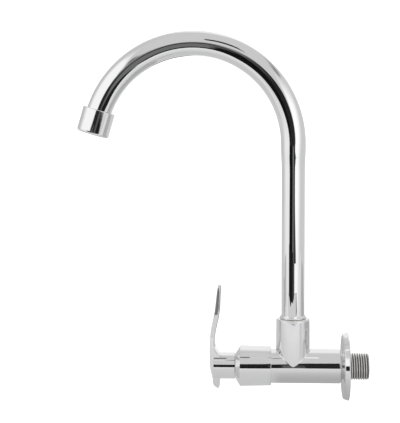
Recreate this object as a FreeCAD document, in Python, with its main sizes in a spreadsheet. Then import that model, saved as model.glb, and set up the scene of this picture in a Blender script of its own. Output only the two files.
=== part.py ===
import FreeCAD, Part
import Sketcher
import math
import os
from FreeCAD import Vector, Placement, Rotation

# Single-lever wall tap with a high swivelling swan-neck spout.
# Millimetres. +X runs into the wall, -X towards the user, +Z up. The solids are
# drawn with the wall plane at X = wall_x and written out moved along X so that
# the wall plane is X = 0, with the origin on the inlet thread's axis.

os.makedirs("parts", exist_ok=True)
doc = FreeCAD.newDocument("wall_tap")

# ---------------------------------------------------------------- dimensions
DIMS = [
    # inlet
    ("wall_x", -2.2, "plane of the wall, where the flange's rim rests"),
    ("thread_rad", 10.34, "crest of the G1/2 thread, class B"),
    ("land_rad", 10.5, "plain land where the thread runs out"),
    ("land_start", -5.0, "land starts inside the flange"),
    ("thread_pitch", 1.814, "G1/2 pitch, 14 per inch"),
    ("thread_end", 13.3, "end of the thread, inside the wall"),
    ("thread_start", -2.0, "thread starts at the wall"),
    ("neck_rad", 9.9, "plain neck between body and thread"),
    ("thread_end_rad", 9.35, "radius of the chamfered thread end"),
    ("inlet_bore_rad", 7.0, "waterway in the inlet"),
    # horizontal body
    ("body_rad", 13.2, "outside radius of the horizontal body"),
    ("body_back", -7.3, "wall-side end of the body"),
    ("body_front", -61.8, "user-side end of the body, under the bonnet"),
    ("spigot_rad", 13.0, "short spigot that carries the bonnet"),
    ("spigot_front", -64.0, "end face of the spigot"),
    ("seat_face", -36.0, "face that the cartridge seal presses on"),
    ("seat_rad", 5.2, "hole through the seat"),
    ("chamber_rad", 9.4, "chamber round the cartridge"),
    ("cart_thread_rad", 10.0, "cartridge thread, pitch radius"),
    ("cart_thread_back", -51.0, "inner end of the cartridge thread"),
    # spout socket
    ("spout_x", -45.0, "swivel axis"),
    ("collar_rad", 13.0, "outside radius of the spout socket"),
    ("collar_top", 37.6, "top of the spout socket"),
    ("collar_round", 1.4, "rounded top edge of the socket"),
    ("socket_rad", 10.0, "bore of the socket"),
    ("socket_floor", 13.8, "floor of the socket"),
    ("port_rad", 4.6, "waterway from the chamber up to the spout"),
    ("mitre_round", 0.9, "blend between socket and body"),
    # spout
    ("tube_rad", 9.0, "spout tube, straight run"),
    ("bend_rad", 9.6, "spout tube in the bend"),
    ("tube_wall", 1.0, "wall of the tube"),
    ("tube_foot", 29.5, "lower end of the tube in its foot"),
    ("swell_low", 150.0, "tube starts to widen"),
    ("bend_low", 171.9, "start of the bend"),
    ("bend_radius", 76.7, "centre-line radius of the bend"),
    ("bend_angle", 163.0, "angle of the bend"),
    ("tube_tail", 4.5, "straight end of the tube in the outlet"),
    ("foot_rad", 9.95, "spout foot, runs in the socket"),
    ("foot_low", 14.2, "lower end of the foot"),
    ("foot_top", 37.3, "upper end of the foot"),
    ("foot_bore", 6.8, "waterway in the foot"),
    ("oring_low", 17.1, "lower O-ring"),
    ("oring_high", 21.7, "upper O-ring"),
    ("oring_half", 1.1, "half width of an O-ring groove"),
    ("oring_mid", 9.15, "O-ring centre radius"),
    ("oring_sec", 0.8, "O-ring section radius"),
    ("groove_rad", 8.6, "retaining groove of the foot"),
    ("screw_z", 26.5, "height of the retaining screw"),
    ("ring_low", 37.85, "underside of the slip ring"),
    ("ring_rad", 10.25, "slip ring"),
    # outlet
    ("nozzle_rad", 12.5, "aerator housing"),
    ("nozzle_top", 3.9, "top of the housing above the end of the bend"),
    ("nozzle_low", -15.4, "lip of the housing"),
    ("lip_round", 2.2, "rounded edge of the lip"),
    ("nozzle_bore", 11.05, "M22 thread of the housing"),
    ("lip_rad", 9.3, "opening of the lip"),
    ("lip_high", -11.3, "ledge that carries the insert"),
    ("adapter_rad", 11.0, "M22 thread of the outlet collar"),
    # bonnet
    ("bonnet_rear_rad", 15.1, "bonnet at the body"),
    ("bonnet_rad", 15.75, "bonnet at its front"),
    ("bonnet_shoulder", -85.9, "start of the front cone"),
    ("bonnet_front", -89.3, "front end of the bonnet"),
    ("bonnet_nose_rad", 10.35, "small end of the cone"),
    # headwork
    ("headwork_back", -37.5, "inner end of the cartridge"),
    ("headwork_front", -86.5, "outer end of the cartridge"),
    ("headwork_rad", 9.1, "cartridge body in the chamber"),
    ("nose_rad", 9.0, "outer thread that carries the bonnet"),
    ("hex_flat", 22.0, "spanner size"),
    ("disc_bore", 7.6, "bore for the discs"),
    ("disc_rad", 7.45, "ceramic discs"),
    ("disc_thick", 3.0, "ceramic discs"),
    ("disc_face", -42.3, "polished face of the fixed disc"),
    ("spindle_rad", 5.0, "spindle journal"),
    ("spindle_bore", 5.05, "bore of the cartridge nose"),
    ("spline_rad", 4.0, "splined end of the spindle"),
    ("spline_front", -101.5, "end of the spindle"),
    # lever
    ("hub_rad", 10.2, "lever hub"),
    ("hub_back", -89.7, "rear face of the hub"),
    ("hub_front", -106.4, "hub runs into the blade"),
    ("hub_bore", 4.04, "socket for the splines"),
    ("lever_width", 24.0, "stock from which the blade is cut"),
    ("lever_round", 0.9, "rounded edges of the blade"),
    # flange
    ("flange_rad", 26.0, "flange at the wall"),
    ("flange_front_rad", 24.9, "flange at its front"),
    ("flange_front", -6.5, "front face of the flange"),
    ("flange_sheet", 1.0, "sheet thickness"),
    ("flange_hole", 10.9, "hole, slips over the thread"),
]
sheet = doc.addObject("Spreadsheet::Sheet", "Dims")
D = {}
for n, (alias, value, note) in enumerate(DIMS, 1):
    sheet.set("A%d" % n, alias)
    sheet.set("B%d" % n, str(value))
    sheet.setAlias("B%d" % n, alias)
    sheet.set("C%d" % n, note)
    D[alias] = float(value)
doc.recompute()


# A coordinate is a number, the name of a cell, or (name, offset).
def val(c):
    if isinstance(c, tuple):
        return D[c[0]] + c[1]
    if isinstance(c, str):
        return -D[c[1:]] if c.startswith("-") else D[c]
    return float(c)


def expr(c):
    if isinstance(c, tuple):
        return "Dims.%s + %.6f" % (c[0], c[1]) if c[1] >= 0 else "Dims.%s - %.6f" % (c[0], -c[1])
    if isinstance(c, str):
        return "-Dims.%s" % c[1:] if c.startswith("-") else "Dims.%s" % c
    return None


def bind(obj, prop, c):
    setattr(obj, prop, val(c))
    e = expr(c)
    if e:
        obj.setExpression(prop, e)


def new_body(name, label=None):
    body = doc.addObject("PartDesign::Body", name)
    body.Label = label or name
    return body


def plane(body, role):
    for f in body.Origin.OriginFeatures:
        if f.Role == role:
            return f
    raise RuntimeError(role)


def sketch_on(body, name, role, offset=None, rot=None):
    sk = body.newObject("Sketcher::SketchObject", name)
    sk.AttachmentSupport = [(plane(body, role), "")]
    sk.MapMode = "FlatFace"
    if offset is not None:
        # offset along the plane's normal
        sk.AttachmentOffset = Placement(Vector(0, 0, val(offset)), Rotation())
        e = expr(offset)
        if e:
            sk.setExpression("AttachmentOffset.Base.z", e)
    return sk


def datum(sk, kind, args, c):
    v = val(c)
    i = sk.addConstraint(Sketcher.Constraint(kind, *args, v))
    e = expr(c)
    if e:
        sk.setExpression("Constraints[%d]" % i, e)
    return i


def pin_point(sk, gid, pos, x, y):
    if isinstance(x, (int, float)) and x == 0:
        sk.addConstraint(Sketcher.Constraint("PointOnObject", gid, pos, -2))
    else:
        datum(sk, "DistanceX", (-1, 1, gid, pos), x)
    if isinstance(y, (int, float)) and y == 0:
        sk.addConstraint(Sketcher.Constraint("PointOnObject", gid, pos, -1))
    else:
        datum(sk, "DistanceY", (-1, 1, gid, pos), y)


def polygon(sk, pts):
    n = len(pts)
    ids = []
    for i in range(n):
        a, b = pts[i], pts[(i + 1) % n]
        ids.append(sk.addGeometry(Part.LineSegment(
            Vector(val(a[0]), val(a[1]), 0), Vector(val(b[0]), val(b[1]), 0)), False))
    for i in range(n):
        sk.addConstraint(Sketcher.Constraint("Coincident", ids[i], 2, ids[(i + 1) % n], 1))
    for i in range(n):
        pin_point(sk, ids[i], 1, pts[i][0], pts[i][1])
    return ids


def circle(sk, x, y, r):
    g = sk.addGeometry(Part.Circle(Vector(val(x), val(y), 0), Vector(0, 0, 1), val(r)), False)
    if val(x) == 0 and val(y) == 0:
        sk.addConstraint(Sketcher.Constraint("Coincident", g, 3, -1, 1))
    else:
        pin_point(sk, g, 3, x, y)
    datum(sk, "Radius", (g,), r)
    return g


def revolve(body, name, pts, axis="V_Axis", kind="Revolution"):
    sk = sketch_on(body, name + "_profile", "XZ_Plane")
    polygon(sk, pts)
    f = body.newObject("PartDesign::" + kind, name)
    f.Profile = sk
    f.ReferenceAxis = (sk, [axis])
    f.Angle = 360
    doc.recompute()
    return f


def extrude(body, name, sk, length, kind="Pad", midplane=False, reverse=False, through=False):
    f = body.newObject("PartDesign::" + kind, name)
    f.Profile = sk
    if through:
        f.Type = 1
    else:
        bind(f, "Length", length)
    if midplane:
        f.Midplane = True
    f.Reversed = reverse
    doc.recompute()
    return f


def ring_edges(shape, wanted, tol=0.02, axis="z"):
    """Names of circular edges of the given (radius, height)."""
    out = []
    for i, e in enumerate(shape.Edges, 1):
        c = e.Curve
        if c.TypeId != "Part::GeomCircle":
            continue
        for r, h in wanted:
            if abs(c.Radius - val(r)) < tol and abs(getattr(c.Center, axis) - val(h)) < tol:
                out.append("Edge%d" % i)
    return out


def dress(body, name, kind, size, edges):
    if not edges:
        raise RuntimeError("no edges for " + name)
    base = body.Tip
    f = body.newObject("PartDesign::" + kind, name)
    f.Base = (base, edges)
    if kind == "Fillet":
        bind(f, "Radius", size)
    else:
        bind(f, "Size", size)
    doc.recompute()
    return f


def along_x(body):
    """Turned about its own Z axis, then laid along the wall axis."""
    body.Placement = Placement(Vector(0, 0, 0), Rotation(Vector(0, 1, 0), 90))


def at_spout(obj):
    obj.Placement = Placement(Vector(D["spout_x"], 0, 0), Rotation())
    obj.setExpression("Placement.Base.x", "Dims.spout_x")


BX = D["spout_x"] - D["bend_radius"]
A_END = math.radians(D["bend_angle"])
OUT = Vector(BX + D["bend_radius"] * math.cos(A_END), 0, D["bend_low"] + D["bend_radius"] * math.sin(A_END))
TILT = 180.0 - D["bend_angle"]


def at_outlet(obj):
    """Local Z is the outlet's axis, pointing back up the tube."""
    obj.Placement = Placement(OUT, Rotation(Vector(0, 1, 0), TILT))
    obj.setExpression("Placement.Base.x", "Dims.spout_x - Dims.bend_radius + Dims.bend_radius * cos(Dims.bend_angle * 1 deg)")
    obj.setExpression("Placement.Base.z", "Dims.bend_low + Dims.bend_radius * sin(Dims.bend_angle * 1 deg)")


KEEP = []


def keep(obj):
    KEEP.append(obj)
    return obj


# ================================================================ fixed body
# One casting: horizontal body with the inlet thread, and the spout socket.
b = new_body("tee_body")
revolve(b, "barrel", [
    ("spigot_front", 0), ("spigot_front", "spigot_rad"), ("body_front", "spigot_rad"),
    ("body_front", "body_rad"), (("body_back", -1.6), "body_rad"), ("body_back", ("body_rad", -1.6)),
    ("body_back", "neck_rad"), (("land_start", -0.4), "neck_rad"), ("land_start", "land_rad"),
    (("thread_start", -0.1), "land_rad"), ("thread_start", "thread_rad"),
    (("thread_end", -1.1), "thread_rad"),
    ("thread_end", "thread_end_rad"), ("thread_end", 0),
], axis="H_Axis")
sk = sketch_on(b, "socket_outline", "XY_Plane")
circle(sk, "spout_x", 0, "collar_rad")
extrude(b, "socket", sk, "collar_top")
dress(b, "socket_edge", "Fillet", "collar_round",
      ring_edges(b.Tip.Shape, [("collar_rad", "collar_top")]))
mitre = []
for i, e in enumerate(b.Tip.Shape.Edges, 1):
    if e.Curve.TypeId in ("Part::GeomBSplineCurve", "Part::GeomEllipse"):
        bb = e.BoundBox
        if abs((bb.XMin + bb.XMax) / 2 - D["spout_x"]) < 14 and bb.ZMax > 1 and bb.ZMax < 14:
            mitre.append("Edge%d" % i)
before = b.Tip.Shape.Volume
try:
    f = dress(b, "mitre_blend", "Fillet", "mitre_round", mitre)
    if not f.Shape.isValid() or f.Shape.Volume <= before or f.State and "Invalid" in f.State:
        raise RuntimeError("blend")
except Exception as err:
    print("mitre blend left out:", err)
    if b.Tip.Name.startswith("mitre_blend"):
        bad = b.Tip
        prev = [o for o in b.Group if o.Name.startswith("socket_edge")][0]
        b.removeObject(bad)
        doc.removeObject(bad.Name)
        b.Tip = prev
        doc.recompute()
# waterways: inlet, seat, cartridge chamber
revolve(b, "waterway", [
    (("thread_end", 1), 0), (("thread_end", 1), "inlet_bore_rad"), (-31.0, "inlet_bore_rad"),
    (-33.0, "seat_rad"), ("seat_face", "seat_rad"), ("seat_face", ("seat_rad", 1.9)),
    (("seat_face", 0.9), ("seat_rad", 1.9)), (("seat_face", 0.9), "chamber_rad"),
    ("cart_thread_back", "chamber_rad"), ("cart_thread_back", "cart_thread_rad"),
    (("spigot_front", -1), "cart_thread_rad"), (("spigot_front", -1), 0),
], axis="H_Axis", kind="Groove")
# socket bore from the top, port through its floor into the chamber
sk = sketch_on(b, "socket_bore_outline", "XY_Plane", offset="collar_top")
circle(sk, "spout_x", 0, "socket_rad")
f = extrude(b, "socket_bore", sk, D["collar_top"] - D["socket_floor"], kind="Pocket")
f.setExpression("Length", "Dims.collar_top - Dims.socket_floor")
sk = sketch_on(b, "port_outline", "XY_Plane", offset=("socket_floor", 0.5))
circle(sk, ("spout_x", -1.0), 0, "port_rad")
extrude(b, "port", sk, 9.0, kind="Pocket")
doc.recompute()
dress(b, "socket_lead_in", "Chamfer", 0.35, ring_edges(b.Tip.Shape, [("socket_rad", "collar_top")]))
# tapped hole for the retaining screw, on the wall side of the socket
sk = sketch_on(b, "screw_hole_outline", "YZ_Plane", offset=("spout_x", 14.0))
circle(sk, 0, "screw_z", 2.0)
extrude(b, "screw_hole", sk, 6.0, kind="Pocket")
# helical inlet thread, 55 degree flanks
v0 = b.Tip.Shape.Volume
sk = sketch_on(b, "thread_form", "XZ_Plane")
depth = 1.02
half = depth * math.tan(math.radians(27.5)) + 0.1
xs = D["thread_start"] + 0.9
ids = polygon(sk, [
    (xs - half - 0.07, D["thread_rad"] + 0.12), (xs + half + 0.07, D["thread_rad"] + 0.12),
    (xs + 0.1, D["thread_rad"] - depth), (xs - 0.1, D["thread_rad"] - depth)])
hx = b.newObject("PartDesign::SubtractiveHelix", "inlet_thread")
hx.Profile = sk
hx.ReferenceAxis = (sk, ["H_Axis"])
hx.Mode = 0
bind(hx, "Pitch", "thread_pitch")
hx.Height = D["thread_end"] - xs + 1.0
hx.setExpression("Height", "Dims.thread_end - Dims.thread_start + 0.1")
hx.Angle = 0
hx.Reversed = False
doc.recompute()
if v0 - hx.Shape.Volume < 250:
    raise RuntimeError("thread not cut")
keep(b)

# Bonnet: chromed cover screwed on the cartridge, its skirt on the spigot.
b = new_body("bonnet")
along_x(b)
revolve(b, "shell", [
    (13.05, "body_front"), ("bonnet_rear_rad", "body_front"), ("bonnet_rad", "bonnet_shoulder"),
    ("bonnet_nose_rad", "bonnet_front"), (9.4, "bonnet_front"), ("nose_rad", ("bonnet_front", 0.4)),
    ("nose_rad", -81.6), (12.4, -81.6), (13.7, -80.3), (13.7, ("spigot_front", -0.6)), (13.05, "spigot_front"),
])
dress(b, "edges", "Fillet", 0.35, ring_edges(b.Tip.Shape, [
    ("bonnet_rad", "bonnet_shoulder"), ("bonnet_rear_rad", "body_front")]))
keep(b)

# Cartridge body: disc chamber, body thread, spanner flats, nose.
b = new_body("headwork_body")
along_x(b)
revolve(b, "turned", [
    ("disc_bore", "headwork_back"), ("headwork_rad", "headwork_back"), ("headwork_rad", "cart_thread_back"),
    ("cart_thread_rad", "cart_thread_back"), ("cart_thread_rad", -76.0), ("nose_rad", -77.0),
    ("nose_rad", ("headwork_front", 0.5)), (("nose_rad", -0.5), "headwork_front"),
    ("spindle_bore", "headwork_front"), ("spindle_bore", -53.0), ("disc_bore", -53.0),
])
hexa = b.newObject("PartDesign::AdditivePrism", "spanner_hex")
hexa.Polygon = 6
hexa.Circumradius = D["hex_flat"] / 2 / math.cos(math.radians(30))
hexa.setExpression("Circumradius", "Dims.hex_flat / 2 / cos(30 deg)")
hexa.Height = 7.0
hexa.Placement = Placement(Vector(0, 0, -72.0), Rotation(Vector(0, 0, 1), 30))
doc.recompute()
sk = sketch_on(b, "hex_bore_outline", "XY_Plane", offset=-64.0)
circle(sk, 0, 0, "spindle_bore")
extrude(b, "hex_bore", sk, 12.0, kind="Pocket")
sk = sketch_on(b, "window_outline_a", "XZ_Plane")
polygon(sk, [(-3.6, -50.2), (3.6, -50.2), (3.6, -45.6), (-3.6, -45.6)])
extrude(b, "windows_a", sk, 20.0, kind="Pocket", midplane=True)
sk = sketch_on(b, "window_outline_b", "YZ_Plane")
polygon(sk, [(-3.6, -50.2), (3.6, -50.2), (3.6, -45.6), (-3.6, -45.6)])
extrude(b, "windows_b", sk, 20.0, kind="Pocket", midplane=True)
keep(b)

# Flat gasket under the cartridge's hexagon.
b = new_body("headwork_gasket")
along_x(b)
revolve(b, "washer", [(10.1, "spigot_front"), (12.0, "spigot_front"), (12.0, ("spigot_front", -1.0)), (10.1, ("spigot_front", -1.0))])
keep(b)

# Rubber seal between the seat and the fixed disc.
b = new_body("seat_seal")
along_x(b)
revolve(b, "ring", [("seat_rad", "seat_face"), (7.1, "seat_face"), (7.4, ("seat_face", -0.6)),
                    (7.4, ("disc_face", 3.0)), ("seat_rad", ("disc_face", 3.0))])
keep(b)


def disc(name, z0):
    """Ceramic disc with two waterways, each a sector of a ring."""
    full = doc.addObject("Part::Cylinder", name + "_blank")
    bind(full, "Radius", "disc_rad")
    bind(full, "Height", "disc_thick")
    ways = []
    for k in (0, 1):
        w = doc.addObject("Part::Cylinder", name + "_way%d" % k)
        w.Radius = 6.1
        w.Height = D["disc_thick"] + 2
        w.Angle = 78
        w.Placement = Placement(Vector(0, 0, -1), Rotation(Vector(0, 0, 1), 51 + 180 * k))
        ways.append(w)
    core = doc.addObject("Part::Cylinder", name + "_core")
    core.Radius = 1.6
    core.Height = D["disc_thick"]
    both = doc.addObject("Part::MultiFuse", name + "_ways")
    both.Shapes = ways
    cut = doc.addObject("Part::Cut", name + "_cut")
    cut.Base = full
    cut.Tool = both
    whole = doc.addObject("Part::Fuse", name)
    whole.Base = cut
    whole.Tool = core
    whole.Label = name
    doc.recompute()
    whole.Placement = Placement(Vector(z0, 0, 0), Rotation(Vector(0, 1, 0), 90))
    return keep(whole)


disc("fixed_disc", D["disc_face"])
disc("moving_disc", D["disc_face"] - 0.05 - D["disc_thick"])


def grub(name, rad, length, tip_rad, tip_len, key):
    """Socket set screw along local Z, tip at the top."""
    g = new_body(name)
    revolve(g, "shank", [
        (0, 0), (rad - 0.3, 0), (rad, 0.3), (rad, length - tip_len - 0.2), (tip_rad, length - tip_len),
        (tip_rad, length), (0, length)])
    p = g.newObject("PartDesign::SubtractivePrism", "key_socket")
    p.Polygon = 6
    p.Circumradius = key / 2 / math.cos(math.radians(30))
    p.Height = min(2.0, length * 0.5)
    p.Placement = Placement(Vector(0, 0, -0.01), Rotation())
    doc.recompute()
    return g


# Screw that keeps the spout in its socket; its tip runs in the foot's groove.
g = grub("spout_retaining_screw", 2.0, 3.75, 1.25, 1.2, 2.0)
g.Placement = Placement(Vector(D["spout_x"] + 12.65, 0, D["screw_z"]), Rotation(Vector(0, 1, 0), -90))
keep(g)

# ================================================================ spout
# Tube: straight run, slight swell, bend in one arc, short straight end.
b = new_body("spout_tube")
at_spout(b)
# the swell is an S of two equal arcs, tangent to both runs
sk = sketch_on(b, "riser_profile", "XZ_Plane")


def s_curve(sk, r0, r1, z0, z1):
    """Two tangent arcs from (r0, z0) to (r1, z1), both ends upright."""
    hh, dd = z1 - z0, r1 - r0
    rad = (hh * hh / 4 + dd * dd / 4) / dd
    ang = math.asin((hh / 2) / rad)
    a = Part.ArcOfCircle(Part.Circle(Vector(r0 + rad, z0, 0), Vector(0, 0, 1), rad), math.pi - ang, math.pi)
    c = Part.ArcOfCircle(Part.Circle(Vector(r1 - rad, z1, 0), Vector(0, 0, 1), rad), -ang, 0.0)
    return sk.addGeometry(a, False), sk.addGeometry(c, False)


r0, r1 = D["tube_rad"], D["bend_rad"]
z0, z1, zf = D["swell_low"], D["bend_low"], D["tube_foot"]
w = D["tube_wall"]
l1 = sk.addGeometry(Part.LineSegment(Vector(r0, zf, 0), Vector(r0, z0, 0)), False)
a1, a2 = s_curve(sk, r0, r1, z0, z1)
l2 = sk.addGeometry(Part.LineSegment(Vector(r1, z1, 0), Vector(r1 - w, z1, 0)), False)
a3, a4 = s_curve(sk, r0 - w, r1 - w, z0, z1)
l3 = sk.addGeometry(Part.LineSegment(Vector(r0 - w, z0, 0), Vector(r0 - w, zf, 0)), False)
l4 = sk.addGeometry(Part.LineSegment(Vector(r0 - w, zf, 0), Vector(r0, zf, 0)), False)
C = Sketcher.Constraint
for con in (
        C("Coincident", l1, 2, a1, 2), C("Coincident", a1, 1, a2, 1), C("Coincident", a2, 2, l2, 1),
        C("Coincident", l2, 2, a4, 2), C("Coincident", a4, 1, a3, 1), C("Coincident", a3, 2, l3, 1),
        C("Coincident", l3, 2, l4, 1), C("Coincident", l4, 2, l1, 1),
        C("Vertical", l1), C("Horizontal", l2), C("Vertical", l3), C("Horizontal", l4)):
    sk.addConstraint(con)
pin_point(sk, l1, 1, "tube_rad", "tube_foot")
datum(sk, "DistanceY", (-1, 1, l1, 2), "swell_low")
pin_point(sk, l2, 1, "bend_rad", "bend_low")
i = sk.addConstraint(C("DistanceX", l2, 2, l2, 1, w))
sk.setExpression("Constraints[%d]" % i, "Dims.tube_wall")
i = sk.addConstraint(C("DistanceX", l4, 1, l4, 2, w))
sk.setExpression("Constraints[%d]" % i, "Dims.tube_wall")
sk.addConstraint(C("Horizontal", l1, 2, l3, 1))
f = b.newObject("PartDesign::Revolution", "riser")
f.Profile = sk
f.ReferenceAxis = (sk, ["V_Axis"])
f.Angle = 360
doc.recompute()
# bend: ring section turned about an axis through the bend's centre
sk = sketch_on(b, "bend_section", "XY_Plane", offset="bend_low")
circle(sk, 0, 0, "bend_rad")
circle(sk, 0, 0, ("bend_rad", -1.0))
ax = sk.addGeometry(Part.LineSegment(Vector(-D["bend_radius"], -20, 0), Vector(-D["bend_radius"], 20, 0)), True)
sk.addConstraint(C("Vertical", ax))
datum(sk, "DistanceX", (-1, 1, ax, 1), "-bend_radius")
f = b.newObject("PartDesign::Revolution", "bend")
f.Profile = sk
f.ReferenceAxis = (sk, ["Axis0"])
bind(f, "Angle", "bend_angle")
doc.recompute()
if f.Shape.optimalBoundingBox(True, False).ZMax < D["bend_low"] + 50:
    f.Reversed = True
    doc.recompute()
# straight end
tail = b.newObject("PartDesign::AdditiveCylinder", "tail")
bind(tail, "Radius", "bend_rad")
bind(tail, "Height", "tube_tail")
lo = OUT - Vector(D["spout_x"], 0, 0)
axis_dir = Vector(math.sin(math.radians(TILT)), 0, math.cos(math.radians(TILT)))
tail.Placement = Placement(lo - axis_dir * D["tube_tail"], Rotation(Vector(0, 1, 0), TILT))
doc.recompute()
tail_bore = b.newObject("PartDesign::SubtractiveCylinder", "tail_bore")
tail_bore.Radius = D["bend_rad"] - w
tail_bore.setExpression("Radius", "Dims.bend_rad - Dims.tube_wall")
tail_bore.Height = D["tube_tail"] + 0.5
tail_bore.Placement = Placement(lo - axis_dir * (D["tube_tail"] + 0.5), Rotation(Vector(0, 1, 0), TILT))
doc.recompute()
keep(b)

# Turned foot brazed on the tube's lower end.
b = new_body("spout_foot")
at_spout(b)
revolve(b, "turned", [
    ("foot_bore", "foot_low"), (("foot_rad", -0.5), "foot_low"), ("foot_rad", ("foot_low", 0.5)),
    ("foot_rad", ("oring_low", -1.1)), (8.35, ("oring_low", -1.1)), (8.35, ("oring_low", 1.1)), ("foot_rad", ("oring_low", 1.1)),
    ("foot_rad", ("oring_high", -1.1)), (8.35, ("oring_high", -1.1)), (8.35, ("oring_high", 1.1)), ("foot_rad", ("oring_high", 1.1)),
    ("foot_rad", ("screw_z", -1.5)), ("groove_rad", ("screw_z", -1.5)), ("groove_rad", ("screw_z", 1.5)), ("foot_rad", ("screw_z", 1.5)),
    ("foot_rad", "foot_top"), ("tube_rad", "foot_top"), ("tube_rad", "tube_foot"), ("foot_bore", "tube_foot"),
])
keep(b)

for name, z in (("spout_oring_lower", "oring_low"), ("spout_oring_upper", "oring_high")):
    t = doc.addObject("Part::Torus", name)
    bind(t, "Radius1", "oring_mid")
    bind(t, "Radius2", "oring_sec")
    at_spout(t)
    t.setExpression("Placement.Base.z", "Dims." + z)
    t.Label = name
    keep(t)

# Slip ring at the base of the tube.
b = new_body("spout_slip_ring")
at_spout(b)
revolve(b, "ring", [(9.04, "ring_low"), ("ring_rad", "ring_low"), ("ring_rad", ("ring_low", 0.75)),
                    (9.8, ("ring_low", 1.45)), (9.35, ("ring_low", 2.3)), (9.04, ("ring_low", 2.3))])
dress(b, "softened", "Fillet", 0.25, ring_edges(b.Tip.Shape, [("ring_rad", ("ring_low", 0.75)), (9.8, ("ring_low", 1.45))]))
keep(b)

# Threaded collar brazed on the tube's outlet end.
b = new_body("outlet_collar")
at_outlet(b)
revolve(b, "turned", [
    (9.75, 3.7), (("adapter_rad", -0.3), 3.7), ("adapter_rad", 3.4), ("adapter_rad", -5.2),
    (8.55, -5.2), (8.55, -4.55), (9.75, -4.55)])
keep(b)

# Aerator housing.
b = new_body("aerator_housing")
at_outlet(b)
revolve(b, "turned", [
    ("nozzle_bore", "nozzle_top"), ("nozzle_rad", "nozzle_top"), ("nozzle_rad", "nozzle_low"),
    ("lip_rad", "nozzle_low"), ("lip_rad", "lip_high"), ("nozzle_bore", "lip_high")])
dress(b, "top_edge", "Fillet", 0.45, ring_edges(b.Tip.Shape, [("nozzle_rad", "nozzle_top")]))
dress(b, "lip_edge", "Fillet", "lip_round", ring_edges(b.Tip.Shape, [("nozzle_rad", "nozzle_low")]))
dress(b, "lip_inner", "Chamfer", 0.5, ring_edges(b.Tip.Shape, [("lip_rad", "nozzle_low")]))
keep(b)

# Aerator insert, from the tube outwards: washer, jet plate, chamber, outlet grid.
b = new_body("aerator_washer")
at_outlet(b)
revolve(b, "ring", [(8.3, -5.25), (10.9, -5.25), (10.9, -6.75), (8.3, -6.75)])
keep(b)


def perforated(name, z_top, thick, rings, hole):
    p = new_body(name)
    at_outlet(p)
    s = sketch_on(p, "outline", "XY_Plane", offset=z_top)
    circle(s, 0, 0, 10.75)
    extrude(p, "plate", s, thick, reverse=True)
    v = p.Tip.Shape.Volume
    s = sketch_on(p, "holes", "XY_Plane", offset=z_top + 0.2)
    first = None
    for radius, count in rings:
        for k in range(count):
            a = 2 * math.pi * (k + 0.5 * (count % 12 == 0)) / count
            g = s.addGeometry(Part.Circle(Vector(radius * math.cos(a), radius * math.sin(a), 0), Vector(0, 0, 1), hole), False)
            s.addConstraint(C("DistanceX", -1, 1, g, 3, radius * math.cos(a)))
            s.addConstraint(C("DistanceY", -1, 1, g, 3, radius * math.sin(a)))
            if first is None:
                s.addConstraint(C("Radius", g, hole))
                first = g
            else:
                s.addConstraint(C("Equal", first, g))
    extrude(p, "holes_cut", s, thick + 1.0, kind="Pocket")
    if not p.Tip.Shape.Volume < v:
        raise RuntimeError("holes not cut in " + name)
    return keep(p)


perforated("aerator_jet_plate", -6.8, 1.2, [(3.2, 6), (6.4, 12)], 0.55)
b = new_body("aerator_chamber")
at_outlet(b)
revolve(b, "cup", [(9.2, -8.05), (10.75, -8.05), (10.75, -10.2), (8.8, -10.2), (8.8, -9.6), (9.2, -9.2)])
keep(b)
perforated("aerator_outlet_grid", -10.25, 1.0, [(1.35, 4), (3.2, 10), (5.1, 16), (7.0, 22), (8.5, 26)], 0.62)

# ================================================================ lever
b = new_body("spindle")
along_x(b)
revolve(b, "turned", [
    (0, -45.4), (7.3, -45.4), (7.3, -52.2), ("spindle_rad", -52.2),
    ("spindle_rad", -58.9), (3.5, -58.9), (3.5, -61.1), ("spindle_rad", -61.1),
    ("spindle_rad", -66.9), (3.5, -66.9), (3.5, -69.1), ("spindle_rad", -69.1),
    ("spindle_rad", -86.6), (4.2, -86.6), (4.2, -87.6), ("spindle_rad", -87.6),
    ("spindle_rad", -88.6), ("spline_rad", -88.9), ("spline_rad", ("spline_front", 0.5)),
    (("spline_rad", -0.5), "spline_front"), (0, "spline_front")])
# water gap between the two driving legs
sk = sketch_on(b, "gap_outline", "XZ_Plane")
polygon(sk, [(-3.4, -50.0), (3.4, -50.0), (3.4, -45.0), (-3.4, -45.0)])
extrude(b, "driving_legs", sk, 20.0, kind="Pocket", midplane=True)
# twenty splines
sk = sketch_on(b, "spline_form", "XY_Plane", offset=("spline_front", -1.0))
polygon(sk, [(-0.45, 4.2), (0.45, 4.2), (0.0, 3.62)])
v0 = b.Tip.Shape.Volume
f = extrude(b, "spline_gap", sk, 12.6, kind="Pocket", reverse=True)
pp = b.newObject("PartDesign::PolarPattern", "splines")
pp.Originals = [f]
pp.Axis = (plane(b, "Z_Axis"), [""])
pp.Angle = 360
pp.Occurrences = 20
b.Tip = pp
doc.recompute()
if v0 - pp.Shape.Volume < 20 * 0.5 * (v0 - f.Shape.Volume):
    raise RuntimeError("splines not cut")
keep(b)

ors = []
for k, x in enumerate((-60.0, -68.0)):
    t = doc.addObject("Part::Torus", "spindle_oring_%d" % k)
    t.Radius1 = 4.25
    t.Radius2 = 0.75
    t.Placement = Placement(Vector(x, 0, 0), Rotation(Vector(0, 1, 0), 90))
    ors.append(t)
comp = doc.addObject("Part::Compound", "spindle_orings")
comp.Links = ors
comp.Label = "spindle_orings"
doc.recompute()
keep(comp)

b = new_body("spindle_washer")
along_x(b)
revolve(b, "ring", [(5.15, -52.25), (7.25, -52.25), (7.25, -52.95), (5.15, -52.95)])
keep(b)

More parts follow.
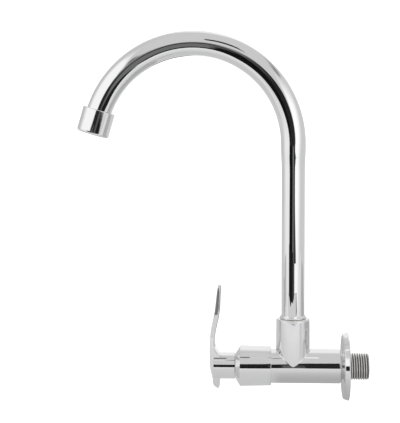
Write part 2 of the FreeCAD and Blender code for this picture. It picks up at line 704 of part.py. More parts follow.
outer = doc.addObject("Part::Cylinder", "clip_outer")
outer.Radius = 6.5
outer.Height = 0.9
inner = doc.addObject("Part::Cylinder", "clip_inner")
inner.Radius = 4.25
inner.Height = 3
inner.Placement.Base = Vector(0, 0, -1)
gap = doc.addObject("Part::Box", "clip_gap")
gap.Length, gap.Width, gap.Height = 8, 5.0, 3
gap.Placement.Base = Vector(0, -2.5, -1)
tools = doc.addObject("Part::MultiFuse", "clip_tools")
tools.Shapes = [inner, gap]
clip = doc.addObject("Part::Cut", "spindle_clip")
clip.Base = outer
clip.Tool = tools
clip.Label = "spindle_clip"
doc.recompute()
clip.Placement = Placement(Vector(-87.55, 0, 0), Rotation(Vector(0, 1, 0), 90))
keep(clip)

# Lever: one casting. Side outline (X, Z) first, then the front outline trims it.
front = [(-104.6, -16.3), (-105.9, -15.4), (-106.8, -13.4), (-107.05, -10.6), (-107.45, -7.5), (-108.15, -4.4),
         (-108.9, -1.2), (-109.25, 4.8), (-109.35, 12.5), (-109.3, 17.5), (-109.0, 22.5), (-108.5, 27.9),
         (-107.5, 33.6), (-106.15, 39.9), (-105.15, 46.0), (-104.45, 52.0), (-103.75, 58.2), (-103.1, 62.3)]
back = [(-100.7, 62.5), (-101.1, 58.0), (-101.4, 52.0), (-101.6, 46.0), (-102.2, 40.5), (-103.1, 35.2), (-104.15, 30.4),
        (-105.0, 26.0), (-105.6, 21.5), (-105.8, 18.2), (-105.4, 15.3), (-104.4, 13.0), (-103.0, 11.0), (-101.8, 8.6),
        (-101.15, 5.0), (-101.0, 0.0), (-101.2, -5.0), (-101.55, -9.0), (-101.7, -12.0), (-101.75, -14.2), (-102.0, -16.1)]
b = new_body("lever")
sk = sketch_on(b, "side_outline", "XZ_Plane")


def spline(sk, pts):
    c = Part.BSplineCurve()
    c.approximate(Points=[Vector(p[0], p[1], 0) for p in pts], DegMin=3, DegMax=5, Tolerance=0.02, Continuity="C2")
    return sk.addGeometry(c, False)


def seg(sk, p, q):
    return sk.addGeometry(Part.LineSegment(Vector(p[0], p[1], 0), Vector(q[0], q[1], 0)), False)


def tip_arc(sk, p, q, bulge):
    m = Vector((p[0] + q[0]) / 2 + bulge[0], (p[1] + q[1]) / 2 + bulge[1], 0)
    return sk.addGeometry(Part.Arc(Vector(p[0], p[1], 0), m, Vector(q[0], q[1], 0)), False)


spline(sk, front)
tip_arc(sk, front[-1], back[0], (0.1, 1.15))
spline(sk, back)
tip_arc(sk, back[-1], front[0], (0.1, -1.0))
extrude(b, "blank", sk, "lever_width", midplane=True)
# front outline: half widths from the tail up to the tip; the blade is narrower than the hub behind it
half_w = [(0.0, -18.6), (2.0, -17.9), (4.1, -15.9), (5.3, -12.6), (6.2, -9.0), (6.5, -6.0), (6.6, 0.0), (6.6, 8.0),
          (6.6, 16.0), (6.55, 25.0), (6.5, 32.0), (6.5, 39.0), (6.45, 46.0), (6.4, 53.0), (6.35, 59.0)]
sk = sketch_on(b, "front_outline", "YZ_Plane", offset=-98.0)
right = [(w_, z_) for w_, z_ in half_w[1:]]
spline(sk, right)
sk.addGeometry(Part.Arc(Vector(6.35, 59.0, 0), Vector(5.0, 62.5, 0), Vector(0.0, 63.9, 0)), False)
sk.addGeometry(Part.Arc(Vector(0.0, 63.9, 0), Vector(-5.0, 62.5, 0), Vector(-6.35, 59.0, 0)), False)
spline(sk, [(-w_, z_) for w_, z_ in reversed(right)])
sk.addGeometry(Part.Arc(Vector(-2.0, -17.9, 0), Vector(0, -18.6, 0), Vector(2.0, -17.9, 0)), False)
# a frame well outside the outline: what lies between the two is cut away
for p, q in (((-14, -20), (14, -20)), ((14, -20), (14, 70)), ((14, 70), (-14, 70)), ((-14, 70), (-14, -20))):
    seg(sk, p, q)
extrude(b, "trim", sk, 16.0, kind="Pocket")
# rounded edges all round the blade, but not across its ends, which are round already
rounded = []
for i, e in enumerate(b.Tip.Shape.Edges, 1):
    bb = e.BoundBox
    if bb.XLength > 0.01 or bb.ZLength > 0.01:
        rounded.append("Edge%d" % i)
dress(b, "blade_edges", "Fillet", "lever_round", rounded)
# hub behind the blade
hub = b.newObject("PartDesign::AdditiveCylinder", "hub")
bind(hub, "Radius", "hub_rad")
hub.Height = D["hub_back"] - D["hub_front"]
hub.setExpression("Height", "Dims.hub_back - Dims.hub_front")
hub.Placement = Placement(Vector(D["hub_front"], 0, 0), Rotation(Vector(0, 1, 0), 90))
doc.recompute()
dress(b, "hub_edge", "Chamfer", 0.3, ring_edges(b.Tip.Shape, [("hub_rad", "hub_back"), ("hub_rad", "hub_front")], axis="x"))
sk = sketch_on(b, "spline_socket_outline", "YZ_Plane", offset=("hub_back", 1.0))
circle(sk, 0, 0, "hub_bore")
f = extrude(b, "spline_socket", sk, 13.2, kind="Pocket")
f.setExpression("Length", "Dims.hub_back + 1 - Dims.spline_front + 0.4")
sk = sketch_on(b, "set_screw_hole_outline", "XY_Plane", offset=-12.0)
circle(sk, -96.0, 0, 2.0)
extrude(b, "set_screw_hole", sk, 10.0, kind="Pocket", reverse=True)
keep(b)

# Set screw that clamps the hub on the splines, from below.
g = grub("lever_set_screw", 2.0, 5.7, 1.25, 1.2, 2.0)
g.Placement = Placement(Vector(-96.0, 0, -9.85), Rotation())
keep(g)

# ================================================================ wall flange
b = new_body("wall_flange")
along_x(b)
revolve(b, "pressing", [
    ("flange_hole", "flange_front"), ("flange_front_rad", "flange_front"), ("flange_rad", ("wall_x", -0.9)), ("flange_rad", "wall_x"),
    (("flange_rad", -1.0), "wall_x"), (("flange_rad", -1.0), ("wall_x", -0.7)),
    (("flange_front_rad", -1.1), ("flange_front", 1.0)), ("flange_hole", ("flange_front", 1.0))])
dress(b, "front_edge", "Fillet", 1.1, ring_edges(b.Tip.Shape, [("flange_front_rad", "flange_front")]))
keep(b)

# ---------------------------------------------------------------- write out
doc.recompute()
bad = []
for o in doc.Objects:
    if any(w_ in o.State for w_ in ("Invalid", "Error")):
        bad.append(o.Name + " " + str(o.State))
for o in KEEP:
    s_ = o.Shape
    if s_.isNull() or not s_.isValid() or not s_.Solids:
        bad.append(o.Label + " shape")
if bad:
    raise RuntimeError("not sound: " + "; ".join(bad))
for o in KEEP:
    if len(o.Shape.Solids) != (2 if o.Label == "spindle_orings" else 1):
        raise RuntimeError("%s has %d solids" % (o.Label, len(o.Shape.Solids)))
    o.Shape.translated(Vector(-D["wall_x"], 0, 0)).exportStep("parts/%s.step" % o.Label)
    print("%-24s %8.1f mm3 %d solid" % (o.Label, o.Shape.Volume, len(o.Shape.Solids)))
print(len(KEEP), "nodes")
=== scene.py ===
import math

import bpy
from mathutils import Matrix, Vector

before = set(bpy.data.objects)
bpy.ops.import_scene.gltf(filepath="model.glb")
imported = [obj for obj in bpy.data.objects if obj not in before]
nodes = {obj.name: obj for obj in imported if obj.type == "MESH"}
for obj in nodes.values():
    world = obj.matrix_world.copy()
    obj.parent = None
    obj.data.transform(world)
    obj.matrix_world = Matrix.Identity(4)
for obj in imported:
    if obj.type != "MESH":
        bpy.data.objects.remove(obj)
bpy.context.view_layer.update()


# ---------------------------------------------------------------- node helpers
class Mat:
    """A small builder for one node material."""

    def __init__(self, name):
        self.m = bpy.data.materials.new(name)
        self.m.use_nodes = True
        self.t = self.m.node_tree
        self.t.nodes.clear()
        self.out = self.t.nodes.new("ShaderNodeOutputMaterial")
        self.b = self.t.nodes.new("ShaderNodeBsdfPrincipled")
        self.t.links.new(self.b.outputs["BSDF"], self.out.inputs["Surface"])
        self.co = self.t.nodes.new("ShaderNodeTexCoord").outputs["Object"]

    def set(self, **kw):
        for k, v in kw.items():
            self.b.inputs[k.replace("_", " ")].default_value = v
        return self

    def node(self, kind, **kw):
        n = self.t.nodes.new(kind)
        for k, v in kw.items():
            setattr(n, k, v)
        return n

    def link(self, a, b):
        self.t.links.new(a, b)

    def mapping(self, scale):
        n = self.node("ShaderNodeMapping")
        n.inputs["Scale"].default_value = scale
        self.link(self.co, n.inputs["Vector"])
        return n.outputs["Vector"]

    def noise(self, scale, detail=4.0, rough=0.5, vec=None, distort=0.0):
        n = self.node("ShaderNodeTexNoise")
        n.inputs["Scale"].default_value = scale
        n.inputs["Detail"].default_value = detail
        n.inputs["Roughness"].default_value = rough
        n.inputs["Distortion"].default_value = distort
        self.link(self.co if vec is None else vec, n.inputs["Vector"])
        return n.outputs["Fac"]

    def range(self, value, a, b, lo, hi, smooth=False):
        n = self.node("ShaderNodeMapRange")
        n.interpolation_type = "SMOOTHSTEP" if smooth else "LINEAR"
        n.inputs["From Min"].default_value = a
        n.inputs["From Max"].default_value = b
        n.inputs["To Min"].default_value = lo
        n.inputs["To Max"].default_value = hi
        self.link(value, n.inputs["Value"])
        return n.outputs["Result"]

    def math(self, op, a, b=None, c=None, clamp=False):
        n = self.node("ShaderNodeMath", operation=op, use_clamp=clamp)
        for i, v in enumerate((a, b, c)):
            if v is None:
                continue
            if isinstance(v, (int, float)):
                n.inputs[i].default_value = v
            else:
                self.link(v, n.inputs[i])
        return n.outputs[0]

    def mix(self, fac, a, b):
        n = self.node("ShaderNodeMix", data_type="RGBA")
        for sock, v in ((n.inputs[0], fac), (n.inputs[6], a), (n.inputs[7], b)):
            if isinstance(v, (int, float)):
                sock.default_value = v
            elif isinstance(v, tuple):
                sock.default_value = v if len(v) == 4 else v + (1.0,)
            else:
                self.link(v, sock)
        return n.outputs[2]

    def bump(self, height, distance, strength=1.0, normal=None):
        n = self.node("ShaderNodeBump")
        n.inputs["Strength"].default_value = strength
        n.inputs["Distance"].default_value = distance
        self.link(height, n.inputs["Height"])
        if normal is not None:
            self.link(normal, n.inputs["Normal"])
        return n.outputs["Normal"]

    def edge(self, radius, samples=4):
        """1 on an edge or corner, 0 on an open surface."""
        bev = self.node("ShaderNodeBevel", samples=samples)
        bev.inputs["Radius"].default_value = radius
        geo = self.node("ShaderNodeNewGeometry")
        dot = self.node("ShaderNodeVectorMath", operation="DOT_PRODUCT")
        self.link(bev.outputs["Normal"], dot.inputs[0])
        self.link(geo.outputs["Normal"], dot.inputs[1])
        return self.range(dot.outputs["Value"], 0.995, 0.85, 0.0, 1.0)

    def base(self, sock):
        self.link(sock, self.b.inputs["Base Color"])

    def rough(self, sock):
        self.link(sock, self.b.inputs["Roughness"])

    def normal(self, sock):
        self.link(sock, self.b.inputs["Normal"])


def chrome(m, tint, rough, wave, wave_scale, haze=0.05):
    """Chrome plate: near-mirror, with slow polishing waves under it, faint wiping haze, hairlines, a few dull specks
    and a painted highlight on edges and corners.
    """
    m.set(Metallic=1.0)
    slow = m.noise(wave_scale, 2.0, 0.45)
    wiped = m.noise(42.0, 5.0, 0.62, m.mapping((1.0, 1.0, 0.35)))
    hair = m.noise(160.0, 2.0, 0.6, m.mapping((9.0, 0.7, 0.9)))
    hair2 = m.noise(150.0, 2.0, 0.6, m.mapping((0.8, 0.9, 10.0)))
    hair = m.math("MAXIMUM", m.range(hair, 0.66, 0.72, 0.0, 1.0), m.range(hair2, 0.66, 0.72, 0.0, 1.0))
    specks = m.range(m.noise(1100.0, 1.0, 0.5), 0.76, 0.80, 0.0, 1.0)
    dirt = m.range(wiped, 0.48, 0.74, 0.0, 1.0, True)
    # painted highlight: edges and corners lightened towards 0.93 in the base colour
    edge_highlight = m.edge(0.0006)
    tone = m.mix(m.math("MULTIPLY", dirt, 0.5), tint, tuple(c * 0.95 for c in tint))
    tone = m.mix(m.math("MULTIPLY", specks, 0.4), tone, (0.55, 0.55, 0.55))
    tone = m.mix(m.math("MULTIPLY", edge_highlight, 0.25), tone, (0.93, 0.93, 0.94))
    r = m.range(wiped, 0.35, 0.75, rough, rough + haze)
    r = m.math("ADD", r, m.math("MULTIPLY", hair, 0.03))
    r = m.math("ADD", r, m.math("MULTIPLY", specks, 0.12))
    n1 = m.bump(slow, wave)
    n2 = m.bump(hair, 0.000001, 0.3, n1)
    return tone, r, n2


def chrome_plate(name, tint, rough, wave, wave_scale, haze=0.05):
    m = Mat(name)
    tone, r, n = chrome(m, tint, rough, wave, wave_scale, haze)
    m.base(tone)
    m.rough(r)
    m.normal(n)
    return m.m


def off_axis(m):
    """Distance from the inlet's axis, in metres."""
    flat = m.node("ShaderNodeVectorMath", operation="MULTIPLY")
    flat.inputs[1].default_value = (0.0, 1.0, 1.0)
    m.link(m.co, flat.inputs[0])
    far = m.node("ShaderNodeVectorMath", operation="LENGTH")
    m.link(flat.outputs["Vector"], far.inputs[0])
    return far.outputs["Value"]


def along(m):
    sep = m.node("ShaderNodeSeparateXYZ")
    m.link(m.co, sep.inputs[0])
    return sep.outputs[0]


def body_plate(name):
    """Chrome outside, thin and grey over the inlet thread with painted shade darkening its roots, bare brass in the
    bore.
    """
    m = Mat(name)
    tone, r, n = chrome(m, (0.84, 0.84, 0.845), 0.03, 0.00010, 48.0)
    rad, x = off_axis(m), along(m)
    thread = m.range(x, -0.0024, -0.0016, 0.0, 1.0)
    # painted shade: the thread's roots darkened towards 0.24, deepest at the smallest radius
    root_shade = m.range(rad, 0.0094, 0.0103, 1.0, 0.0, True)
    grime = m.noise(260.0, 4.0, 0.6)
    grey = m.mix(root_shade, (0.86, 0.86, 0.85), (0.24, 0.235, 0.23))
    grey = m.mix(m.range(grime, 0.4, 0.75, 0.0, 0.35), grey, (0.46, 0.45, 0.43))
    tone = m.mix(thread, tone, grey)
    bore = m.math("MULTIPLY", m.range(rad, 0.0086, 0.0089, 1.0, 0.0), m.range(x, -0.034, -0.033, 0.0, 1.0))
    tone = m.mix(bore, tone, m.mix(m.range(grime, 0.35, 0.7, 0.0, 1.0), (0.72, 0.53, 0.26), (0.50, 0.35, 0.17)))
    r = m.math("ADD", r, m.math("MULTIPLY", m.math("MAXIMUM", thread, bore), m.range(grime, 0.3, 0.8, 0.14, 0.30)))
    m.base(tone)
    m.rough(r)
    m.normal(n)
    return m.m


def turned(name, tint, dark, rough, axis, turn=(0.0, 0.0, 0.0)):
    """Bar stock turned on a lathe: fine rings across the axis, a little tarnish, a painted highlight lightening the
    edges.
    """
    m = Mat(name).set(Metallic=1.0)
    mp = m.node("ShaderNodeMapping")
    mp.inputs["Rotation"].default_value = turn
    mp.inputs["Scale"].default_value = tuple(1.0 if a else 0.02 for a in axis)
    m.link(m.co, mp.inputs["Vector"])
    rings = m.noise(2600.0, 3.0, 0.6, mp.outputs["Vector"])
    tarnish = m.noise(120.0, 5.0, 0.6)
    tone = m.mix(m.range(tarnish, 0.42, 0.72, 0.0, 0.8, True), tint, dark)
    # painted highlight: edges and corners lightened to 1.18 times the tint
    tone = m.mix(m.math("MULTIPLY", m.edge(0.0004), 0.5), tone, tuple(min(1.0, c * 1.18) for c in tint))
    m.base(tone)
    m.rough(m.math("ADD", m.range(rings, 0.3, 0.7, rough - 0.05, rough + 0.10), m.range(tarnish, 0.4, 0.8, 0.0, 0.12)))
    m.normal(m.bump(rings, 0.000012, 0.7))
    return m.m


def moulded(name, tint, other, rough, grain_scale, grain, coat=0.0, specular=0.5):
    """Moulded or ground non-metal: soft mottling, fine surface grain, a painted highlight lightening the edges."""
    m = Mat(name).set(Metallic=0.0, Specular_IOR_Level=specular, Coat_Weight=coat)
    mottle = m.noise(90.0, 4.0, 0.6)
    fine = m.noise(grain_scale, 3.0, 0.6)
    tone = m.mix(m.range(mottle, 0.35, 0.7, 0.0, 1.0, True), tint, other)
    # painted highlight: edges and corners lightened to 1.25 times the tint
    tone = m.mix(m.math("MULTIPLY", m.edge(0.0003), 0.3), tone, tuple(min(1.0, c * 1.25 + 0.01) for c in tint))
    m.base(tone)
    m.rough(m.range(fine, 0.3, 0.7, rough - 0.06, rough + 0.10))
    m.normal(m.bump(fine, grain, 0.8))
    return m.m


BRASS, BRASS_DARK = (0.80, 0.62, 0.33), (0.60, 0.43, 0.21)
TILT = math.radians(17.0)
chrome_tube = chrome_plate("tube_chromed", (0.85, 0.85, 0.855), 0.022, 0.00003, 30.0, 0.035)
finish = {
    "tee_body": body_plate("cast_brass_chromed_body"),
    "bonnet": chrome_plate("cast_brass_chromed", (0.84, 0.84, 0.845), 0.03, 0.00008, 50.0),
    "spout_tube": chrome_tube,
    "spout_slip_ring": chrome_tube,
    "aerator_housing": chrome_plate("housing_chromed", (0.85, 0.85, 0.855), 0.03, 0.00005, 60.0),
    "lever": chrome_plate("lever_chromed", (0.84, 0.84, 0.845), 0.04, 0.00010, 55.0),
    "wall_flange": chrome_plate("pressed_chromed", (0.83, 0.83, 0.835), 0.05, 0.00010, 45.0),
    "headwork_body": turned("turned_brass_cartridge", BRASS, BRASS_DARK, 0.24, (1, 0, 0)),
    "spindle": turned("turned_brass_spindle", BRASS, BRASS_DARK, 0.20, (1, 0, 0)),
    "spout_foot": turned("turned_brass_foot", BRASS, BRASS_DARK, 0.26, (0, 0, 1)),
    "outlet_collar": turned("plated_brass_collar", (0.78, 0.77, 0.74), (0.60, 0.57, 0.50), 0.16, (0, 0, 1), (0.0, -TILT, 0.0)),
    "spindle_clip": turned("oiled_spring_steel", (0.42, 0.41, 0.40), (0.20, 0.17, 0.14), 0.30, (1, 0, 0)),
    "lever_set_screw": turned("stainless_set_screw", (0.66, 0.67, 0.68), (0.52, 0.52, 0.52), 0.22, (0, 0, 1)),
    "spout_retaining_screw": turned("stainless_grub_screw", (0.66, 0.67, 0.68), (0.52, 0.52, 0.52), 0.22, (0, 0, 1)),
}
ceramic = moulded("ground_alumina", (0.90, 0.89, 0.85), (0.84, 0.82, 0.77), 0.16, 1800.0, 0.000002, coat=0.0)
rubber = moulded("moulded_rubber", (0.022, 0.022, 0.023), (0.040, 0.039, 0.038), 0.52, 1500.0, 0.00002, specular=0.4)
acetal = moulded("moulded_acetal", (0.83, 0.83, 0.81), (0.77, 0.77, 0.74), 0.38, 1200.0, 0.00001)
for n in ("fixed_disc", "moving_disc"):
    finish[n] = ceramic
for n in ("headwork_gasket", "seat_seal", "spout_oring_lower", "spout_oring_upper", "spindle_orings", "aerator_washer"):
    finish[n] = rubber
for n in ("aerator_jet_plate", "aerator_chamber", "aerator_outlet_grid", "spindle_washer"):
    finish[n] = acetal
for name, o in nodes.items():
    o.data.materials.clear()
    o.data.materials.append(finish[name])

# ---------------------------------------------------------------- camera
SHIFT_X = 0.0022
cam_data = bpy.data.cameras.new("photo_camera")
cam = bpy.data.objects.new("photo_camera", cam_data)
bpy.context.scene.collection.objects.link(cam)
yaw, pitch, roll = math.radians(2.3), math.radians(-4.0), math.radians(-0.1)
fwd = Vector((-math.sin(yaw) * math.cos(pitch), math.cos(yaw) * math.cos(pitch), math.sin(pitch)))
right = Vector((math.cos(yaw), math.sin(yaw), 0.0))
up = right.cross(fwd)
r_ = right * math.cos(roll) + up * math.sin(roll)
u_ = up * math.cos(roll) - right * math.sin(roll)
rot = Matrix((r_, u_, -fwd)).transposed().to_4x4()
cam.matrix_world = Matrix.Translation(Vector((-0.062 + SHIFT_X, -0.675, 0.166))) @ rot
cam_data.sensor_width = 36.0
cam_data.lens = 879.5 * 36.0 / 423.0
cam_data.shift_x = (200.0 - 235.8) / 423.0
cam_data.shift_y = (213.4 - 211.5) / 423.0
cam_data.clip_start = 0.01
cam_data.clip_end = 60.0
bpy.context.scene.camera = cam

# ---------------------------------------------------------------- world and stage
# A white tent: two soft boxes, dimmer fabric above and behind, and the dark room
# and black flags behind the camera. Directions in degrees: azimuth 0 is towards the
# camera, +90 towards the wall; elevation above the horizon.
world = bpy.data.worlds.new("studio")
bpy.context.scene.world = world
world.use_nodes = True
wt = world.node_tree
wt.nodes.clear()


def wn(kind, **kw):
    n = wt.nodes.new(kind)
    for k, v in kw.items():
        setattr(n, k, v)
    return n


def wmath(op, *args):
    n = wn("ShaderNodeMath", operation=op)
    for i, v in enumerate(args):
        if isinstance(v, (int, float)):
            n.inputs[i].default_value = v
        else:
            wt.links.new(v, n.inputs[i])
    return n.outputs[0]


gen = wn("ShaderNodeTexCoord").outputs["Generated"]
sep = wn("ShaderNodeSeparateXYZ")
wt.links.new(gen, sep.inputs[0])
dx, dy, dz = sep.outputs[0], sep.outputs[1], sep.outputs[2]
AZ = wmath("MULTIPLY", wmath("ARCTAN2", dx, wmath("MULTIPLY", dy, -1.0)), 180.0 / math.pi)
EL = wmath("MULTIPLY", wmath("ARCSINE", dz), 180.0 / math.pi)


def ramp(value, a, b):
    """0 below a, 1 above b, smooth between."""
    n = wn("ShaderNodeMapRange", interpolation_type="SMOOTHSTEP")
    n.inputs["From Min"].default_value = a
    n.inputs["From Max"].default_value = b
    wt.links.new(value, n.inputs["Value"])
    return n.outputs["Result"]


def window(value, lo, hi, soft_lo, soft_hi):
    return wmath("MULTIPLY", ramp(value, lo - soft_lo / 2, lo + soft_lo / 2),
                 wmath("SUBTRACT", 1.0, ramp(value, hi - soft_hi / 2, hi + soft_hi / 2)))


def card(light, az, el, level, soft_az=(3.0, 3.0), soft_el=(3.0, 3.0), lean=0.0, opacity=1.0):
    """Lays a card of the given light level over what is there. lean slides it in azimuth with elevation."""
    a = AZ if not lean else wmath("SUBTRACT", AZ, wmath("MULTIPLY", EL, lean))
    m = wmath("MULTIPLY", window(a, az[0], az[1], *soft_az), window(EL, el[0], el[1], *soft_el))
    m = wmath("MULTIPLY", m, opacity)
    return wmath("ADD", wmath("MULTIPLY", light, wmath("SUBTRACT", 1.0, m)), wmath("MULTIPLY", m, level))


def oval(light, az, el, level, soft=0.3, tilt=0.0):
    """The same for an oval patch, az and el being (centre, half size)."""
    u = wmath("DIVIDE", wmath("SUBTRACT", wmath("SUBTRACT", AZ, az[0]), wmath("MULTIPLY", wmath("SUBTRACT", EL, el[0]), tilt)), az[1])
    v = wmath("DIVIDE", wmath("SUBTRACT", EL, el[0]), el[1])
    d = wmath("SQRT", wmath("ADD", wmath("MULTIPLY", u, u), wmath("MULTIPLY", v, v)))
    m = wmath("SUBTRACT", 1.0, ramp(d, 1.0 - soft, 1.0 + soft))
    return wmath("ADD", wmath("MULTIPLY", light, wmath("SUBTRACT", 1.0, m)), wmath("MULTIPLY", m, level))


def shape(light, points, level, soft=3.0, opacity=1.0):
    """The same for a convex patch with crisp sides, its corners given clockwise as (az, el)."""
    near = None
    for (a0, e0), (a1, e1) in zip(points, points[1:] + points[:1]):
        n = math.hypot(a1 - a0, e1 - e0)
        na, ne = (e1 - e0) / n, -(a1 - a0) / n
        d = wmath("ADD", wmath("MULTIPLY", AZ, na), wmath("ADD", wmath("MULTIPLY", EL, ne), -(na * a0 + ne * e0)))
        near = d if near is None else wmath("MINIMUM", near, d)
    m = wmath("MULTIPLY", ramp(near, -soft / 2, soft / 2), opacity)
    return wmath("ADD", wmath("MULTIPLY", light, wmath("SUBTRACT", 1.0, m)), wmath("MULTIPLY", m, level))


L = wmath("ADD", 0.68, 0.0)
# soft boxes at the left and at the right
L = card(L, (-96, -5), (-13, 46), 1.02, (47, 4), (46, 22), lean=-0.93)
L = card(L, (14, 61), (-27, 30), 1.17, (12, 44), (64, 30), lean=0.92)
L = shape(L, [(-75, 48), (-50, 41), (-28, 26), (-8, 4), (-8, 0), (-75, 4)], 1.08, 4.0, 0.8)
# darker cloth edges far round on both sides
L = card(L, (79, 133), (40.5, 48), 0.29, (14, 11), (4, 7))
L = card(L, (-149, -99), (-4, 62), 0.59, (20, 40), (16, 70), lean=0.2)
# bright cloth behind the tap with a dark opening in it
L = card(L, (158, 220), (-70, 70), 0.98, (8, 1), (20, 20))
L = card(L, (-220, -160), (-70, 70), 0.98, (1, 8), (20, 20))
L = card(L, (171, 220), (-30, -4), 0.07, (3, 1), (6, 3))
L = card(L, (-220, -175), (-30, -4), 0.07, (1, 3), (6, 3))
# the gap between the boxes: its frame, its dark upper corner, and the room beyond with the lit camera in it
L = shape(L, [(-23, 22), (-21, 23), (-4, 2), (-8, 2)], 0.10, 2.0, 0.8)
L = shape(L, [(-5, 4), (2, 14), (10, 18), (19, 14), (19, 1), (-5, -1)], 0.05, 5.0)
L = shape(L, [(-10, -9), (24, -10), (27, -28), (24, -43), (14, -51), (-8, -52), (-17, -44)], 0.165, 3.0)
L = shape(L, [(-36, 1), (-5, 2), (-16, -43), (-18, -47), (-31, -40), (-39, -30), (-42, -20), (-41, -9)], 0.006, 3.5)
L = shape(L, [(-5.0, 2), (2.5, 2), (2.5, -11), (-10, -11)], 0.17, 1.5)
L = shape(L, [(2.5, 3), (14, 3), (15.5, -4), (15.5, -10), (2.5, -10)], 0.02, 1.5)
L = shape(L, [(13, -2.5), (27, -7.5), (27, -12), (13, -12)], 0.10, 2.0)
L = shape(L, [(24, -7), (31, -8.6), (42, -11.8), (52, -15.6), (59, -24), (53, -33), (42, -38), (29, -41), (25, -30)], 0.012, 3.0)
sheen = wn("ShaderNodeBackground")
wt.links.new(L, sheen.inputs["Color"])
white = wn("ShaderNodeBackground")
white.inputs["Color"].default_value = (1.0, 1.0, 1.0, 1.0)
white.inputs["Strength"].default_value = 1.0
pick = wn("ShaderNodeMixShader")
path = wn("ShaderNodeLightPath")
wt.links.new(path.outputs["Is Glossy Ray"], pick.inputs[0])
wt.links.new(white.outputs[0], pick.inputs[1])
wt.links.new(sheen.outputs[0], pick.inputs[2])
w_out = wn("ShaderNodeOutputWorld")
wt.links.new(pick.outputs[0], w_out.inputs["Surface"])


def sheet_object(name, rows, half_width, centre_x):
    """A sheet bent along its depth: rows of (y, z), joined into one smooth surface."""
    me = bpy.data.meshes.new(name)
    verts, faces = [], []
    for y, z in rows:
        verts += [(centre_x - half_width, y, z), (centre_x + half_width, y, z)]
    for i in range(len(rows) - 1):
        faces.append((2 * i, 2 * i + 1, 2 * i + 3, 2 * i + 2))
    me.from_pydata(verts, [], faces)
    for p in me.polygons:
        p.use_smooth = True
    ob = bpy.data.objects.new(name, me)
    bpy.context.scene.collection.objects.link(ob)
    return ob


def only(ob, camera=False, diffuse=False, glossy=False, shadow=False):
    ob.visible_camera = camera
    ob.visible_diffuse = diffuse
    ob.visible_glossy = glossy
    ob.visible_shadow = shadow
    ob.visible_transmission = False
    ob.visible_volume_scatter = False


def lit(name, level):
    m = bpy.data.materials.new(name)
    m.use_nodes = True
    m.node_tree.nodes.clear()
    e = m.node_tree.nodes.new("ShaderNodeEmission")
    e.inputs["Color"].default_value = (level, level, level, 1.0)
    o = m.node_tree.nodes.new("ShaderNodeOutputMaterial")
    m.node_tree.links.new(e.outputs[0], o.inputs["Surface"])
    return m


# pale floor, swept up behind
sweep = [(-3.0, -0.12), (1.2, -0.12)] + [(1.2 + 0.8 * math.sin(a), -0.12 + 0.8 * (1 - math.cos(a)))
                                      for a in [math.radians(9 * k) for k in range(1, 11)]] + [(2.0, 4.0)]
floor = sheet_object("floor", sweep, 4.0, 0.0)
pale = bpy.data.materials.new("pale_paper")
pale.use_nodes = True
pb = pale.node_tree.nodes["Principled BSDF"]
pb.inputs["Base Color"].default_value = (0.93, 0.93, 0.93, 1.0)
pb.inputs["Roughness"].default_value = 0.9
pb.inputs["Emission Color"].default_value = (1.0, 1.0, 1.0, 1.0)
pb.inputs["Emission Strength"].default_value = 0.25
floor.data.materials.append(pale)
only(floor, camera=True, diffuse=True, glossy=False, shadow=False)

# white board in front and below, which the riser's foot and the body reflect; it dims towards the back
board = sheet_object("front_board", [(-0.25, -0.012), (0.35, -0.045)], 0.9, -0.05)
bm = lit("board_white", 0.85)
bt = bm.node_tree
b_co = bt.nodes.new("ShaderNodeTexCoord").outputs["Object"]
b_sep = bt.nodes.new("ShaderNodeSeparateXYZ")
bt.links.new(b_co, b_sep.inputs[0])
b_fall = bt.nodes.new("ShaderNodeMapRange")
for key, v in (("From Min", -0.20), ("From Max", 0.0), ("To Min", 0.86), ("To Max", 0.64)):
    b_fall.inputs[key].default_value = v
bt.links.new(b_sep.outputs[1], b_fall.inputs["Value"])
# painted shadow of the body: the board is up to 27% darker near the wall where x is above about -0.06
under = bt.nodes.new("ShaderNodeMapRange")
for key, v in (("From Min", -0.06), ("From Max", -0.012), ("To Min", 0.0), ("To Max", 0.27)):
    under.inputs[key].default_value = v
bt.links.new(b_sep.outputs[1], under.inputs["Value"])
beside = bt.nodes.new("ShaderNodeMapRange")
for key, v in (("From Min", -0.062), ("From Max", -0.052), ("To Min", 0.0), ("To Max", 1.0)):
    beside.inputs[key].default_value = v
bt.links.new(b_sep.outputs[0], beside.inputs["Value"])
shade = bt.nodes.new("ShaderNodeMath")
shade.operation = "MULTIPLY"
bt.links.new(under.outputs["Result"], shade.inputs[0])
bt.links.new(beside.outputs["Result"], shade.inputs[1])
keep = bt.nodes.new("ShaderNodeMath")
keep.operation = "SUBTRACT"
keep.inputs[0].default_value = 1.0
bt.links.new(shade.outputs[0], keep.inputs[1])
total = bt.nodes.new("ShaderNodeMath")
total.operation = "MULTIPLY"
bt.links.new(b_fall.outputs["Result"], total.inputs[0])
bt.links.new(keep.outputs[0], total.inputs[1])
bt.links.new(total.outputs[0], bt.nodes["Emission"].inputs["Color"])
board.data.materials.append(bm)
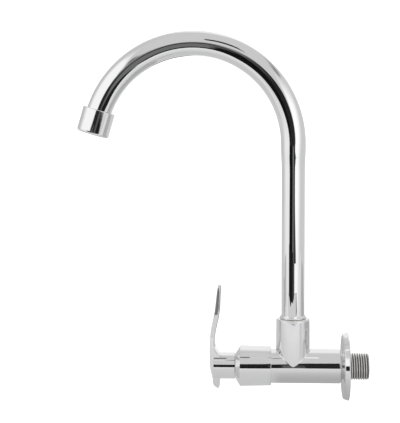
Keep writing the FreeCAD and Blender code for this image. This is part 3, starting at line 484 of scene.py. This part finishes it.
only(board, glossy=True)


def flag(name, corners, level):
    """A flat card that is seen only in the tap's chrome."""
    me = bpy.data.meshes.new(name)
    me.from_pydata(corners, [], [tuple(range(len(corners)))])
    ob = bpy.data.objects.new(name, me)
    bpy.context.scene.collection.objects.link(ob)
    ob.data.materials.append(lit(name, level))
    only(ob, glossy=True)
    return ob


def upright(y, x, z):
    return [(x[0], y, z[0]), (x[1], y, z[0]), (x[1], y, z[1]), (x[0], y, z[1])]


def at(y, points):
    return [(x, y, z) for x, z in points]


flag("flag_left", upright(-0.25, (-0.262, -0.049), (-0.022, 0.062)), 0.012)
flag("flag_right", upright(-0.25, (-0.024, 0.020), (-0.022, 0.062)), 0.02)
# the dark figure behind the camera
flag("figure", at(-0.68, [(-0.30, 0.16), (0.14, 0.16), (0.14, 0.25), (0.12, 0.40), (0.06, 0.42), (0.0, 0.37), (-0.03, 0.285), (-0.10, 0.245), (-0.30, 0.215)]), 0.02)
flag("tent_pole", at(-0.25, [(-0.116, 0.375), (-0.056, 0.392), (-0.010, 0.398), (-0.010, 0.470), (-0.056, 0.472), (-0.116, 0.44)]), 0.01)
# white and grey fillers: beside the lever, at the riser's foot and in front of the flange
flag("filler_lever", upright(-0.02, (-0.128, -0.0965), (0.020, 0.0385)), 0.74)
flag("filler_lever_top", upright(-0.02, (-0.128, -0.0965), (0.0385, 0.080)), 0.20)
flag("filler_foot", at(-0.032, [(-0.075, 0.0315), (-0.028, 0.0315), (-0.028, 0.054), (-0.0372, 0.054), (-0.0396, 0.0493), (-0.0422, 0.0488), (-0.0430, 0.0465),
                                (-0.0500, 0.0475), (-0.0560, 0.0430), (-0.0640, 0.0505), (-0.075, 0.054)]), 0.70)
flag("filler_foot_right", upright(-0.032, (-0.0372, -0.020), (0.0542, 0.078)), 1.08)
flag("filler_flange", upright(-0.045, (-0.0045, 0.020), (-0.004, 0.026)), 0.66)

bpy.context.scene.view_settings.view_transform = "Standard"
bpy.context.scene.view_settings.look = "None"
